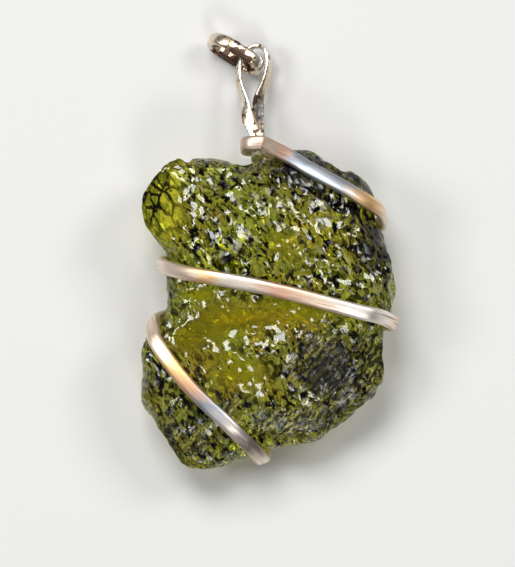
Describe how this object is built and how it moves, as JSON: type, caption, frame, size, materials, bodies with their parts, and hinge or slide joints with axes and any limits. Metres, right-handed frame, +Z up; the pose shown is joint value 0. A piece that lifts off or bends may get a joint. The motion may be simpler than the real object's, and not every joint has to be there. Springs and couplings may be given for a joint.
{
  "type": "raw moldavite pendant",
  "caption": "Raw etched moldavite stone wound with flat silver wire, hanging from a twisted bail with an oval chain link.",
  "frame": {"origin": "under the middle of the whole pendant, on the surface it lies on, with the pendant on its back", "axes": "+Y towards the bail, +X to the right as seen from above, +Z up out of the stone's front"},
  "size_m": [0.0233, 0.0394, 0.0112],
  "materials": {
    "moldavite": "etched natural glass, see-through olive green",
    "wire_silver": "satin silver with warm tarnish",
    "bail_silver": "polished silver",
    "link_silver": "polished silver"
  },
  "bodies": {
    "pendant": {"moldavite": "moldavite", "wrap_wire": "wire_silver"},
    "bail": {"bail": "bail_silver"},
    "link": {"chain_link": "link_silver"}
  },
  "joints": [
    {"name": "bail_swing", "type": "hinge", "parent": "pendant", "child": "bail", "pos_m": [-0.00088, 0.00942, 0.00345], "axis": [1, 0, 0], "range_deg": [-60, 30]},
    {"name": "link_swing", "type": "hinge", "parent": "bail", "child": "link", "pos_m": [-0.00208, 0.01808, 0.00223], "axis": [0.5889, 0.8004, -0.1125], "range_deg": [-4, 105]}
  ]
}
